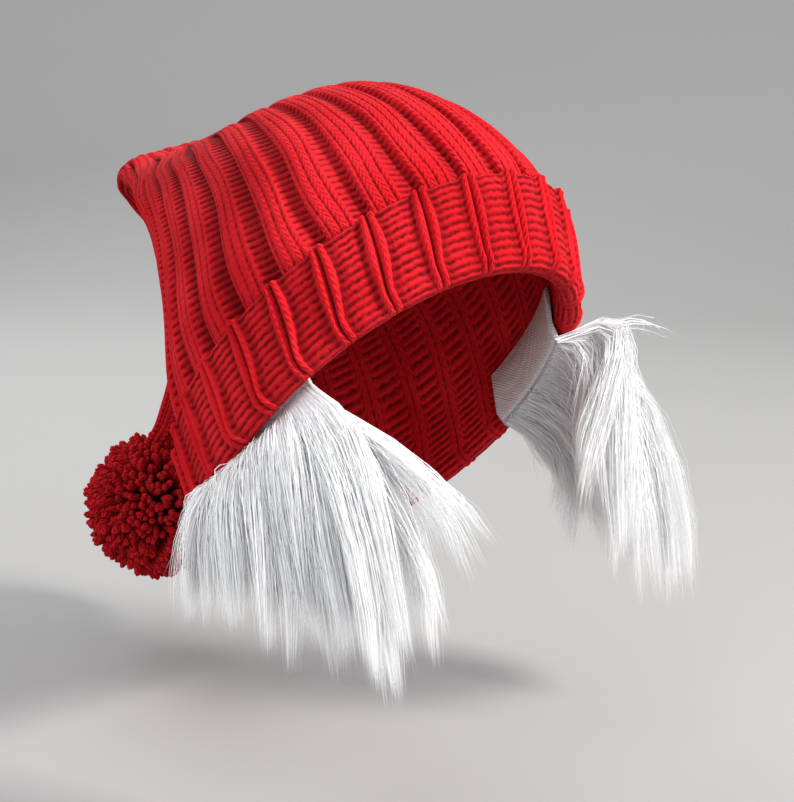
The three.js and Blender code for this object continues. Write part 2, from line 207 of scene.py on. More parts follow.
class Tube:
    """Oval sections at the given places, with points at equal shares of each oval's length."""

    def __init__(self, places):
        front_y, front_z, back_y, back_z, half, shift, skew, drop, flat = hermite(TUBE, places).T
        self.middle = np.stack([shift, (front_y + back_y) / 2, (front_z + back_z) / 2], 1)
        across = np.stack([half, np.zeros_like(half), drop], 1)
        deep = np.stack([skew, (back_y - front_y) / 2, (back_z - front_z) / 2], 1)
        self.a = np.linalg.norm(across, axis=1)
        self.b = np.linalg.norm(deep, axis=1)
        self.across = unit(across)
        self.deep = unit(deep)
        self.flat = np.clip(flat, 0, 1)

    def points(self, shares, offset):
        """Points at shares of the way round from the front by the wearer's left, moved out by the offset."""
        angles = np.linspace(-math.pi / 2, 1.5 * math.pi, OVAL_STEPS + 1)
        c = np.cos(angles)
        out = np.empty((len(self.a), np.shape(shares)[-1], 3))
        offset = np.broadcast_to(offset, out.shape[:2])
        shares = np.broadcast_to(shares, out.shape[:2])
        for k, (a, b) in enumerate(zip(self.a, self.b)):
            x = a * c
            if a > b:
                straight = (a - b) * np.clip(FLAT_RUN * c, -1, 1) + b * c
                x = x + (straight - x) * self.flat[k]
            y = b * np.sin(angles)
            run = running(np.stack([x, y], 1))
            at = np.mod(shares[k], 1.0) * run[-1]
            nx = np.interp(at, run, np.gradient(y, run))
            ny = -np.interp(at, run, np.gradient(x, run))
            long = np.hypot(nx, ny)
            u = np.interp(at, run, x) + nx / long * offset[k]
            v = np.interp(at, run, y) + ny / long * offset[k]
            out[k] = self.middle[k] + u[:, None] * self.across[k] + v[:, None] * self.deep[k]
        return out


EDGE = Tube([0.0])
AXIS = unit(np.cross(EDGE.across[0], EDGE.deep[0]))

# Rows of stitches are counted along the mean of a few lines on the tube, at these shares of the way round
ROW_SHARES = np.array([0.0, 0.25, 0.75, 0.85, 0.92])
LONG = np.linspace(0, TAIL_END, 400)
LONG_ROWS = running(Tube(LONG).points(ROW_SHARES, 0.0).mean(axis=1)) / ROW


def rows_at(places):
    return np.interp(places, LONG, LONG_ROWS)


def places_between(first, last, count):
    """Places along the tube at equal steps between two rows of stitches."""
    return np.interp(np.linspace(first, last, count), LONG_ROWS, LONG)


# Stitch columns along the tube: up to this place, columns around, columns in a repeat, knit columns, phase
ZONES = [
    (3.9, RIBS * STITCHES, STITCHES, KNIT_STITCHES, RIB_START),
    (5.4, 84, 3, 2, 1 / 3),
    (10.0, 42, 3, 2, 0.5833),
    (math.inf, 21, 3, 2, 0.5833),
]
# Part of a stitch over which knit turns into purl
BLEND = 0.3


def columns_at(place, shares):
    """Column count and knit flag at each share, for the zone that holds the place."""
    for limit, around, repeat, knit, phase in ZONES:
        if place < limit:
            break
    column = shares * around + phase * repeat
    inside = np.mod(column, repeat)
    from_purl = np.minimum(inside, knit - inside)
    from_knit = np.minimum(inside - knit, repeat - inside)
    into_knit = np.where(inside < knit, from_purl, -from_knit)
    return column, 0.5 + np.clip(into_knit / BLEND, -0.5, 0.5)


def stretched(places, shares):
    """How far the forehead stretches the knit: 1 at the front of the crown, 0 at sides, back and tail."""
    from_front = np.abs(np.mod(shares + 0.5, 1.0) - 0.5)
    return (1 - smooth(*STRETCH_SHARES, from_front)) * (1 - smooth(*STRETCH_PLACES, places))


def rib_height(places, shares):
    """Height of the ribs over the tube in mm, at each place and share."""
    places = np.asarray(places)[:, None]
    turn = shares * RIBS + RIB_START
    stitch = np.mod(turn, 1.0) * STITCHES
    height = np.interp(stitch, CROWN_PROFILE[:, 0], CROWN_PROFILE[:, 1])
    from_purl = np.minimum(stitch, KNIT_STITCHES - stitch)
    height = height + CORD * np.cos(TURN * stitch) * smooth(0.0, BLEND, from_purl)
    groove = np.clip(smooth(*GROOVE_START, stitch) + 1 - smooth(*GROOVE_END, stitch), 0, 1)
    number = np.floor(turn - GROOVE_OVER)
    for start, end, level, group in CLOSINGS:
        closed = smooth(start, end, places) * np.mod(np.floor(number / group), 2) * groove
        height = height + (level - height) * closed
    rise = 1 - sum(lost * smooth(start, end, places) for start, end, lost in LOWERINGS)
    return height * rise * (1 - STRETCH_HEIGHT * stretched(places, shares))


def new_mesh(name, points, loops, sizes, stitches, values):
    """Smooth mesh from points in mm, corners of the faces in a row and the corner count of each face."""
    mesh = bpy.data.meshes.new(name)
    mesh.vertices.add(points.size // 3)
    mesh.vertices.foreach_set("co", (points * MM).astype(np.float32).ravel())
    mesh.loops.add(loops.size)
    mesh.polygons.add(len(sizes))
    mesh.loops.foreach_set("vertex_index", loops.astype(np.int32).ravel())
    mesh.polygons.foreach_set("loop_start", (np.cumsum(sizes) - sizes).astype(np.int32))
    mesh.polygons.foreach_set("loop_total", sizes.astype(np.int32))
    mesh.polygons.foreach_set("use_smooth", np.ones(len(sizes), dtype=bool))
    layer = mesh.uv_layers.new(name="stitch")
    layer.data.foreach_set("uv", stitches.astype(np.float32).ravel())
    for label, value in values.items():
        attribute = mesh.attributes.new(label, "FLOAT", "POINT")
        attribute.data.foreach_set("value", value.astype(np.float32).ravel())
    mesh.update()
    return mesh


def turn_normals(mesh, normals):
    mesh.normals_split_custom_set_from_vertices(unit(normals).reshape(-1, 3).tolist())


def grid_mesh(name, points, columns, rows, values, flip=False):
    """Mesh of quads over closed rings of points, with stitch coordinates from the columns and rows."""
    n, m = points.shape[:2]
    index = np.arange(n * m).reshape(n, m)
    around = np.stack([index, np.roll(index, -1, axis=1)])
    corners = [(0, 0), (1, 0), (1, 1), (0, 1)]
    if flip:
        corners.reverse()
    quads = np.stack([around[i, j:n - 1 + j] for i, j in corners], 2)
    stitches = np.empty((n - 1, m, 4, 2))
    for k, (i, j) in enumerate(corners):
        stitches[:, :, k, 0] = columns[:, i:m + i]
        stitches[:, :, k, 1] = rows[j:n - 1 + j, None]
    values = {label: np.broadcast_to(value, (n, m)) for label, value in values.items()}
    mesh = new_mesh(name, points, quads, np.full((n - 1) * m, 4), stitches, values)
    mesh.validate()
    return mesh


def add_piece(name, mesh, node, material):
    piece = bpy.data.objects.new(name, mesh)
    bpy.context.scene.collection.objects.link(piece)
    mesh.materials.append(material)
    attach(piece, "root")
    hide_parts(node)


def shares_from(steps):
    """Shares of the way round at the same steps in every repeat of the rib."""
    one = np.array(steps) / STITCHES - RIB_START
    return np.concatenate([(one + k) / RIBS for k in range(RIBS)])


def knit_piece(name, node, material, places, steps, inner=False):
    """One stretch of the knitted tube, outside or inside, with ribs that lean and wander round the tube."""
    shares = shares_from(steps)
    rows = rows_at(places)

    def wave(size, each_row, around):
        return size * np.sin(each_row * rows[:, None] + TURN * around * shares)

    ribs = rib_height(places, shares) + wave(*SWELL)
    start, end, way = LEAN
    lean = way * smooth(start, end, places)[:, None] + sum(wave(*one) for one in WANDER)
    points = Tube(places).points(shares + lean, -WALL + INSIDE_RELIEF * ribs if inner else ribs)
    closed = np.append(shares, shares[0] + 1)
    middles = (places[:-1] + places[1:]) / 2
    columns = np.stack([columns_at(p, closed)[0] for p in middles])
    knit = np.stack([columns_at(p, shares)[1] for p in places])
    # Painted shade mask for the deep grooves between ribs, weaker where the forehead stretches the knit
    groove_shade = smooth(*SHADE_HEIGHTS, ribs) * (1 - STRETCH_SHADE * stretched(places[:, None], shares))
    values = {"knit": 1 - knit if inner else knit, "groove_shade": 0.0 if inner else groove_shade}
    mesh = grid_mesh(name, points, columns, rows, values, flip=inner)
    add_piece(name, mesh, node, material)


def cuff_piece(material):
    """Turned-up cuff: one sheet from inside the hem, round the fold and up to the scalloped top edge."""
    shares = shares_from(CUFF_STEPS)
    steps = np.unique(np.concatenate([np.linspace(*run) for run in CUFF_RUNS]))
    stitch = np.mod(shares * RIBS + RIB_START, 1.0) * STITCHES
    relief = np.interp(stitch, CUFF_PROFILE[:, 0], CUFF_PROFILE[:, 1])
    strength = smooth(*RELIEF_GROWS, steps) * (1 - RELIEF_FADE * smooth(*RELIEF_FADES, steps))
    peak = smooth(*PEAK_RISES, stitch) * (1 - smooth(*PEAK_FALLS, stitch))
    loop = 0.5 + 0.5 * np.cos(TURN * stitch)
    rise = PEAK_HEIGHT * peak + PEAK_BASE + LOOP_HEIGHT * loop
    lift = smooth(*PEAKS_GROW, steps)
    first, last = PINCH_STEPS
    pinch = PINCH_MEAN + PINCH_SWING * np.cos(TURN * (np.clip(steps, first, last) - first) / (last - first))
    inward = np.interp(stitch, [0, KNIT_STITCHES, STITCHES], [-1, 1, -1]) / (STITCHES * RIBS)
    size, each_step, waves, start = CUFF_WAVE
    wave = size * np.sin(steps * each_step) * smooth(*CUFF_WAVE_GROWS, steps)
    around = np.sin(shares * TURN * waves + start)
    points = np.empty((len(steps), len(shares), 3))
    for k, (place, off, drop) in enumerate(hermite(CUFF_OUTLINE, steps)):
        at = shares + pinch[k] * inward
        offset = off + strength[k] * (relief + wave[k] * around)
        low = Tube([max(place, 0)]).points(at, offset)[0]
        high = Tube([max(place, 0) + NEARBY]).points(at, offset)[0]
        points[k] = low + (high - low) * (lift[k] * rise / NEARBY)[:, None] - drop * AXIS
    travel = np.linalg.norm(np.diff(points, axis=0), axis=2).mean(axis=1)
    rows = np.concatenate([[0], np.cumsum(travel)]) / ROW
    closed = np.append(shares, shares[0] + 1)
    columns = np.broadcast_to(columns_at(CUFF_PLACE, closed)[0], (len(steps) - 1, len(closed)))
    # Painted shade mask for the low grooves beside the cuff's cords
    groove_shade = smooth(*CUFF_SHADE_HEIGHTS, relief) * strength[:, None]
    values = {"knit": 1 - columns_at(CUFF_PLACE, shares)[1], "groove_shade": groove_shade}
    mesh = grid_mesh("cuff_knit", points, columns, rows, values)
    add_piece("cuff_knit", mesh, "cuff", material)


# Sides of a yarn strand and turns of its plies from root to tip
STRAND_SIDES = 6
STRAND_TWIST = 1.5


def strand_mesh(name, centres, radii, tones, lean, rng):
    """One joined mesh of tapered strands: rings along each centre line, closed to a point at the tip."""
    count, stops = centres.shape[:2]
    rings = stops - 1
    sides = STRAND_SIDES
    run = unit(np.gradient(centres, axis=1))
    first = unit(np.cross(run, unit(rng.normal(size=(count, 1, 3)))))
    second = np.cross(run, first)
    angles = np.arange(sides)[:, None] * TURN / sides
    facing = np.cos(angles) * first[:, :rings, None] + np.sin(angles) * second[:, :rings, None]
    body = centres[:, :rings, None] + radii[:, :rings, None, None] * facing
    points = np.concatenate([body.reshape(count, -1, 3), centres[:, -1:]], axis=1)
    each = points.shape[1]
    ring = np.arange(rings * sides).reshape(rings, sides)
    after = np.roll(ring, -1, axis=1)
    quads = np.stack([ring[:-1], after[:-1], after[1:], ring[1:]], 2)
    tips = np.stack([ring[-1], after[-1], np.full(sides, each - 1)], 1)
    one = np.concatenate([quads.ravel(), tips.ravel()])
    loops = np.arange(count)[:, None] * each + one
    sizes = np.tile(np.repeat([4, 3], [(rings - 1) * sides, sides]), count)
    start = np.arange(sides) / sides
    stop = start + 1 / sides
    along = np.linspace(0, 1, stops)
    quad_u = np.tile(np.stack([start, stop, stop, start], 1), (rings - 1, 1))
    quad_v = np.repeat(np.stack([along[:-2], along[:-2], along[1:-1], along[1:-1]], 1), sides, axis=0)
    tip_u = np.stack([start, stop, (start + stop) / 2], 1)
    tip_v = np.tile([along[-2], along[-2], along[-1]], sides)
    u = np.concatenate([quad_u.ravel(), tip_u.ravel()])
    v = np.concatenate([quad_v.ravel(), tip_v])
    stitches = np.tile(np.stack([u + STRAND_TWIST * v, v], 1), (count, 1))
    mesh = new_mesh(name, points, loops, sizes, stitches, {"tone": np.repeat(tones, each)})
    normals = (facing + lean[:, None, None]).reshape(count, -1, 3)
    turn_normals(mesh, np.concatenate([normals, lean[:, None]], axis=1))
    return mesh


# How far a hair's band turns away from its lean at random, and how far its normals follow the lean
HAIR_TURN = 0.55
HAIR_FOLLOW = 0.5


def hair_mesh(name, centres, radii, lean, rng):
    """One joined mesh of fine hairs: a narrow band along each centre line, turned roughly to its lean."""
    count, stops = centres.shape[:2]
    rings = stops - 1
    run = unit(np.gradient(centres, axis=1))
    toward = unit(lean + rng.normal(size=(count, 3)) * HAIR_TURN)[:, None]
    side = unit(np.cross(toward, run))
    face = np.cross(run, side)

    def band(middle, half):
        pairs = np.stack([middle[:, :rings] - half, middle[:, :rings] + half], 2)
        return np.concatenate([pairs.reshape(count, -1, 3), middle[:, -1:]], axis=1)

    points = band(centres, radii[:, :rings, None] * side[:, :rings])
    each = points.shape[1]
    low = np.arange(rings - 1) * 2
    quads = np.stack([low + 1, low, low + 2, low + 3], 1).ravel()
    one = np.concatenate([quads, [each - 2, each - 3, each - 1]])
    loops = np.arange(count)[:, None] * each + one
    sizes = np.tile(np.append(np.full(rings - 1, 4), 3), count)
    across = np.append(np.tile([0.0, 1.0], rings), 0.5)
    along = np.append(np.repeat(np.arange(rings) / rings, 2), 1.0)
    stitches = np.tile(np.stack([across, along], 1)[one], (count, 1))
    tones = np.repeat(rng.uniform(0, 1, count), each)
    mesh = new_mesh(name, points, loops, sizes, stitches, {"tone": tones})
    turn_normals(mesh, band(face, side[:, :rings]) + lean[:, None] * HAIR_FOLLOW)
    return mesh


# Fur locks from back to front: place along the strip, tip x, y, z
RIGHT_LOCKS = np.array([
    [0.02, -104, 14, -60], [0.13, -101, 1, -63], [0.26, -98, -13, -66],
    [0.39, -94, -27, -66], [0.52, -89, -41, -68], [0.65, -82, -54, -74],
    [0.78, -73, -68, -85], [0.9, -62, -80, -84], [1.0, -55, -86, -74],
], dtype=float)
LEFT_LOCKS = np.array([
    [0.02, 136, -6, -74], [0.13, 146, -18, -90], [0.26, 153, -30, -99],
    [0.39, 157, -41, -102], [0.52, 157, -48, -99], [0.65, 143, -50, -99],
    [0.78, 122, -52, -92], [0.9, 98, -52, -80], [1.0, 84, -52, -66],
], dtype=float)
# Thin wisps that stray from the locks: place along the strip, tip x, y, z, spread at the root, hairs
RIGHT_WISPS = np.array([
    [0.97, -40, -100, -20, 0.05, 30], [0.96, -45, -96, -36, 0.05, 36], [0.93, -50, -80, -40, 0.06, 50],
    [0.05, -105, 17, -60, 0.05, 30], [0.99, -42, -98, -28, 0.03, 22], [0.1, -104, 10, -64, 0.06, 60],
    [0.94, -51, -88, -58, 0.08, 60], [0.16, -100, 2, -70, 0.06, 60],
])
LEFT_WISPS = np.array([
    [0.97, 62, -52, -40, 0.04, 60], [0.93, 68, -50, -44, 0.04, 50], [0.95, 143, -40, 26, 0.01, 3],
    [0.12, 118, 0, -85, 0.1, 150], [0.3, 128, -14, -90, 0.12, 150],
])
# Shares of the way round where the strip on the wearer's right starts and ends
STRIP = (0.715, 0.832)
# Section of the strip's backing: place along the tube, offset, drop
BACKING = [
    (0.66, -6.2, 0), (0.3, -6.2, 0), (0, -6.2, 0), (0, -6.2, 3), (0, -6.4, 4.8), (0, -7.5, 5.2),
    (0, -8.8, 4.8), (0, -9.0, 3), (0, -9.0, 0), (0.3, -9.0, 0), (0.66, -9.0, 0), (0.68, -7.6, 0),
]
BACKING_POINTS = 60
BACKING_COLUMN = 3.0

# Hairs in each of a side's two meshes, locks that they gather in, and the whole that wisps are counted from
HAIRS = 11500
LOCKS = 24
WISP_OF = 7800
# Locks: jitter of their places, scatter of their tips, overlap with the next, least and most share of hairs
LOCK_JITTER = (0.1, 0.9)
TIP_SCATTER = [3.5, 3.5, 4.5]
LOCK_OVERLAP = 1.5
LOCK_SHARE = (0.6, 1.4)
# Locks are shortened at random: longest, most lost, power. So is each hair.
LOCK_LENGTH = (1.05, 0.46, 1.5)
HAIR_LENGTH = (1.03, 0.42, 1.2)
# Sideways sway of a lock in mm
SWAY = [3.2, 3.2, 1.0]
# Depth in the pile runs from 0 under it to 1 on top: that of wisps, and the scatter of each hair
WISP_DEPTH = 0.9
DEPTH_SCATTER = 0.15
# Share of hairs that belong to no lock, scatter of their tips, and least and most of their length
FREE = 0.14
FREE_SCATTER = 5.0
FREE_LENGTH = (0.45, 0.95)
# Offsets of the roots behind the edge: least and range
ROOT_OFFSET = -6.0
ROOT_RANGE = 2.6
# A short way along the strip that gives its direction
AHEAD = 0.01
# Tips spread by mm: outward with depth beyond a middle, and along the strip
TIP_MIDDLE = 0.6
TIP_OUT = 9.0
TIP_ALONG = 1.6
# Strays: their share, how far they stray, how far a wisp's hairs do, and mm at the tip and on the way
STRAYS = 0.05
STRAY = 1.9
WISP_STRAY = 0.5
STRAY_TIP = 1.1
STRAY_WAY = 1.6
# A hair leaves its root outward by a share that grows with depth: base, growth, scatter
LIFT = (0.38, 0.72, 0.09)
# How the flare at the back, the puff and the sweep at the front fade along the strip, as powers
FLARE_POWER = 0.8
PUFF_POWER = 2
SWEEP_POWER = 3
# Part of the flare that a hair falls less and rises more by, part of the sweep, and the longer fall of wisps
FLARE_RISE = 0.6
SWEEP_PART = 0.6
WISP_DOWN = 1.4
# Third point of a hair's curve: part of the way to the tip, part of the height, and mm outward with depth
FALL_WAY = 0.85
FALL_HEIGHT = 0.6
FALL_MIDDLE = 0.5
FALL_OUT = 12.0
# Slow swing along a hair: turn, fade and mm
SWING_TURN = 4.6
SWING_FADE = 1.5
SWING = 3.0
# Half widths of hairs in mm, and how they taper from root to tip
HAIR_HALF = (0.09, 0.15)
HAIR_TAPER = np.array([0.9, 1.1, 1.15, 1.1, 0.9, 0.6, 0.0])
# Lean of a hair's band: outward by depth and base, and upward
LEAN_DEPTH = 1.8
LEAN_BASE = -0.7
LEAN_UP = [0, 0, 0.6]


def shortened(longest, lost, power, rng, count):
    return longest - lost * rng.uniform(0, 1, count)**power


class Side:
    """One fur piece, with distances in mm.

    The roots lie between two drops below the edge. A hair first runs down and out, with a flare outward at
    the back end of the strip, and a puff upward and a sweep forward at its front end.
    """

    def __init__(self, mirrored, roots, down, out, flare, puff, sweep, locks, wisps):
        self.mirrored = mirrored
        self.roots = roots
        self.down = down
        self.out = out
        self.flare = flare
        self.puff = puff
        self.sweep = sweep
        self.locks = locks
        self.wisps = wisps

    def shares(self, q):
        """Shares of the way round the hat at places along the strip."""
        share = STRIP[0] + (STRIP[1] - STRIP[0]) * q
        return 1 - share if self.mirrored else share

    def tips(self, q):
        """Tips of locks at places along the strip."""
        return np.stack([np.interp(q, self.locks[:, 0], self.locks[:, k]) for k in (1, 2, 3)], 1)

    def bundles(self, rng):
        """Locks, then wisps: place, tip, spread, weight, depth, length, sway and phase of each."""
        place = (np.arange(LOCKS) + rng.uniform(*LOCK_JITTER, LOCKS)) / LOCKS
        tip = self.tips(place) + rng.normal(size=(LOCKS, 3)) * TIP_SCATTER
        weight = rng.uniform(*LOCK_SHARE, LOCKS)
        place = np.append(place, self.wisps[:, 0])
        tip = np.append(tip, self.wisps[:, 1:4], axis=0)
        spread = np.append(np.full(LOCKS, LOCK_OVERLAP / LOCKS), self.wisps[:, 4])
        weight = np.append(weight, self.wisps[:, 5] * weight.sum() / WISP_OF)
        total = len(place)
        wisp = np.arange(total) >= LOCKS
        layer = np.where(wisp, WISP_DEPTH, rng.uniform(0, 1, total))
        length = np.where(wisp, 1.0, shortened(*LOCK_LENGTH, rng, total))
        sway = rng.normal(size=(total, 3)) * SWAY
        phase = rng.uniform(0, TURN, total)
        return place, tip, spread, weight, layer, length, sway, phase

    def strands(self, seed, count):
        """Centre lines of hairs that leave the strip, fall in locks and draw together at the tips."""
        rng = np.random.default_rng(seed)
        place, tip, spread, weight, layer, length, sway, phase = self.bundles(rng)
        own = rng.choice(len(place), count, p=weight / weight.sum())
        wisp = own >= LOCKS
        free = (rng.uniform(0, 1, count) < FREE) & ~wisp
        side = rng.uniform(-1, 1, count)
        q = np.clip(np.where(free, rng.uniform(0, 1, count), place[own] + side * spread[own]), 0.0, 1.0)
        edge = EDGE.points(self.shares(q), 0.0)[0]
        outward = EDGE.points(self.shares(q), 1.0)[0] - edge
        ahead = unit(EDGE.points(self.shares(q + AHEAD), 0.0)[0] - edge)
        root = EDGE.points(self.shares(q), ROOT_OFFSET - ROOT_RANGE * rng.uniform(0, 1, count))[0]
        root = root - AXIS * rng.uniform(*self.roots, count)[:, None]
        depth = np.clip(layer[own] + rng.normal(size=count) * DEPTH_SCATTER, 0, 1)
        loose = self.tips(q) + rng.normal(size=(count, 3)) * FREE_SCATTER
        goal = np.where(free[:, None], loose, tip[own]) + ahead * (side * TIP_ALONG)[:, None]
        goal = goal + outward * ((depth - TIP_MIDDLE) * TIP_OUT)[:, None]
        reach = np.where(free, rng.uniform(*FREE_LENGTH, count), length[own])
        reach = reach * shortened(*HAIR_LENGTH, rng, count)
        stray = np.where(rng.uniform(0, 1, count) < STRAYS, STRAY, 1.0)
        stray = np.where(wisp, WISP_STRAY, stray)[:, None] * rng.normal(size=(count, 3))
        end = root + (goal - root) * reach[:, None] + stray * STRAY_TIP
        base, growth, scatter = LIFT
        lift = base + growth * depth + rng.normal(size=count) * scatter
        flare = self.flare * (1 - q)**FLARE_POWER
        down = np.where(wisp, WISP_DOWN, 1.0) * (self.down - FLARE_RISE * flare)
        sweep = np.where(wisp, 0.0, self.sweep * q**SWEEP_POWER * SWEEP_PART * (1 + depth))
        leave = root - AXIS * down[:, None] + outward * ((self.out + flare) * lift)[:, None]
        leave[:, 1] -= sweep
        leave[:, 2] += depth * (FLARE_RISE * flare + self.puff * q**PUFF_POWER)
        fall = root + (end - root) * FALL_WAY
        fall[:, 2] = end[:, 2] + (root[:, 2] - end[:, 2]) * FALL_HEIGHT
        fall = fall + outward * ((depth - FALL_MIDDLE) * FALL_OUT)[:, None] + stray * STRAY_WAY + sway[own]
        t = np.linspace(0, 1, len(HAIR_TAPER))
        swing = SWING * np.sin(t * SWING_TURN + phase[own][:, None]) * t * (SWING_FADE - t)
        centres = bezier(root, leave, fall, end, t) + ahead[:, None] * swing[:, :, None]
        radii = rng.uniform(*HAIR_HALF, count)[:, None] * HAIR_TAPER
        lean = outward * (LEAN_DEPTH * depth + LEAN_BASE)[:, None] + LEAN_UP
        return centres, radii, lean, rng

    def build(self, name, node, material, backing, seed):
        """The pile as two joined meshes of hairs, and the woven strip that it grows from."""
        for k, label in enumerate(("under", "over")):
            centres, radii, lean, rng = self.strands(seed + k, HAIRS)
            mesh = hair_mesh(f"{name}_{label}", centres, radii, lean, rng)
            add_piece(f"{name}_{label}", mesh, node, material)
        shares = self.shares(np.linspace(0, 1, BACKING_POINTS))
        points = np.stack([Tube([p]).points(shares, off)[0] - drop * AXIS for p, off, drop in BACKING], 1)
        ends = np.broadcast_to(points.mean(axis=1, keepdims=True), points.shape)
        points = np.concatenate([ends[:1], points, ends[-1:]])
        columns = np.arange(len(BACKING) + 1) * BACKING_COLUMN
        columns = np.broadcast_to(columns, (len(points) - 1, len(columns)))
        rows = np.arange(len(points))
        mesh = grid_mesh(f"{name}_backing", points, columns, rows, {}, flip=self.mirrored)
        add_piece(f"{name}_backing", mesh, node, backing)


# Pompom: middle, cut yarn ends, tufts that they gather in, and the radius inside which no yarn shows
POMPOM = np.array([4.0, 195.0, -86.0])
YARN_ENDS = 1500
TUFTS = 60
POMPOM_CORE = 15
# Least and most reach of a yarn end, what a tuft takes off it, scatter of directions and pull of the tufts
YARN_REACH = (36.0, 41.5)
TUFT_TRIM = 2.0
YARN_SCATTER = 0.05
TUFT_PULL = 0.1
# Bend and curl of a yarn end in mm, turn of the curl, and how far its normals lean outward
YARN_BEND = 2.4
YARN_CURL = 1.3
CURL_TURN = 5
YARN_LEAN = 0.25
# Half widths of yarn, with the taper at each stop from root to tip
YARN_HALF = (1.35, 1.85)
YARN_STOPS = np.array([0.0, 0.35, 0.65, 0.86, 0.96, 1.0])
YARN_TAPER = np.array([0.7, 0.95, 1.1, 1.15, 0.85, 0.0])


def pompom_piece(material):
    """Ball of cut yarn ends, gathered at the middle, with uneven lengths and a slight curl."""
    rng = np.random.default_rng(11)
    k = np.arange(YARN_ENDS) + 0.5
    high = 1 - 2 * k / YARN_ENDS
    turn = k * math.pi * (3 - math.sqrt(5))
    flat = np.sqrt(1 - high**2)
    way = np.stack([flat * np.cos(turn), flat * np.sin(turn), high], 1)
    way = unit(way + rng.normal(size=(YARN_ENDS, 3)) * YARN_SCATTER)
    tuft = unit(rng.normal(size=(TUFTS, 3)))
    near = np.argmax(way @ tuft.T, axis=1)
    way = unit(way + TUFT_PULL * (tuft[near] - way))
    reach = rng.uniform(*YARN_REACH, YARN_ENDS) - TUFT_TRIM * rng.uniform(0, 1, TUFTS)[near]
    bend = rng.normal(size=(YARN_ENDS, 3))
    bend -= np.sum(bend * way, axis=1, keepdims=True) * way
    curl = np.cross(way, bend)
    t = YARN_STOPS[:, None]
    radius = POMPOM_CORE + (reach[:, None, None] - POMPOM_CORE) * t
    centres = (POMPOM + way[:, None] * radius + bend[:, None] * YARN_BEND * t**2
               + curl[:, None] * YARN_CURL * np.sin(CURL_TURN * t) * t)
    radii = rng.uniform(*YARN_HALF, YARN_ENDS)[:, None] * YARN_TAPER
    tones = rng.uniform(0, 1, YARN_ENDS)
    mesh = strand_mesh("pompom_yarn", centres, radii, tones, way * YARN_LEAN, rng)
    add_piece("pompom_yarn", mesh, "pompom", material)


class Graph:
    """Small helper for node trees: most calls add one node and return its output."""

    def __init__(self, name):
        self.material = bpy.data.materials.new(name)
        self.material.use_nodes = True
        self.tree = self.material.node_tree
        self.shader = self.tree.nodes["Principled BSDF"]

    def feed(self, socket, value):
        if isinstance(value, bpy.types.NodeSocket):
            self.tree.links.new(value, socket)
        else:
            socket.default_value = value

    def node(self, kind, **settings):
        made = self.tree.nodes.new(kind)
        for key, value in settings.items():
            setattr(made, key, value)
        return made

    def math(self, operation, a, b=0.0):
        made = self.node("ShaderNodeMath", operation=operation)
        self.feed(made.inputs[0], a)
        self.feed(made.inputs[1], b)
        return made.outputs[0]

    def cosine(self, turns):
        return self.math("COSINE", self.math("MULTIPLY", turns, TURN))

    def ramp(self, value, low, high, start=0.0, end=1.0):
        made = self.node("ShaderNodeMapRange", interpolation_type="SMOOTHSTEP")
        for socket, item in zip(made.inputs, (value, low, high, start, end)):
            self.feed(socket, item)
        return made.outputs[0]

    def mix(self, factor, a, b):
        made = self.node("ShaderNodeMix", data_type="RGBA")
        self.feed(made.inputs[0], factor)
        self.feed(made.inputs[6], a)
        self.feed(made.inputs[7], b)
        return made.outputs[2]

    def attribute(self, name):
        return self.node("ShaderNodeAttribute", attribute_name=name).outputs["Fac"]

    def stitch(self):
        uv = self.node("ShaderNodeUVMap", uv_map="stitch")
        split = self.node("ShaderNodeSeparateXYZ")
        self.tree.links.new(uv.outputs[0], split.inputs[0])
        return split.outputs[0], split.outputs[1]

    def texture(self, kind, values, **settings):
        place = self.node("ShaderNodeTexCoord").outputs["Object"]
        made = self.node(kind, **settings)
        for key, value in values.items():
            made.inputs[key].default_value = value
        self.tree.links.new(place, made.inputs["Vector"])
        return made.outputs["Fac"]

    def noise(self, scale, detail=2.0):
        return self.texture("ShaderNodeTexNoise", {"Scale": scale, "Detail": detail})

    def bump(self, height, distance):
        made = self.node("ShaderNodeBump")
        made.inputs["Distance"].default_value = distance
        self.feed(made.inputs["Height"], height)
        self.tree.links.new(made.outputs[0], self.shader.inputs["Normal"])

    def colour(self, value):
        self.feed(self.shader.inputs["Base Color"], value)

    def plain(self, **values):
        for key, value in values.items():
            self.shader.inputs[key.replace("_", " ")].default_value = value

    def woolly(self, sheen):
        """Dull surface with a soft red sheen."""
        self.plain(Roughness=0.95, Specular_IOR_Level=0.1, Sheen_Weight=sheen, Sheen_Roughness=0.5)
        self.plain(Sheen_Tint=(1.0, 0.1, 0.12, 1))


# Painted shade reds: the first for crevices between stitches and plies and deep in the pompom, the second
# for the ribs' grooves
PAINTED_SHADE_RED = (0.15, 0.0011, 0.0028, 1)
GROOVE_SHADE_RED = (0.06, 0.0004, 0.0012, 1)
RED = (0.52, 0.0062, 0.0115, 1)
BRIGHT_RED = (0.66, 0.0135, 0.021, 1)
HAIR_WHITE = (0.97, 0.97, 0.98, 1)
BRIGHT_WHITE = (0.99, 0.99, 0.99, 1)
# Painted cool shade for the fur toward its roots
ROOT_SHADE_WHITE = (0.93, 0.925, 0.95, 1)
CLOTH_SHADE = (0.6, 0.59, 0.58, 1)
CLOTH_PALE = (0.82, 0.81, 0.79, 1)
FLOOR_SHADE = (0.33, 0.326, 0.322, 1)
FLOOR_PALE = (0.345, 0.341, 0.337, 1)


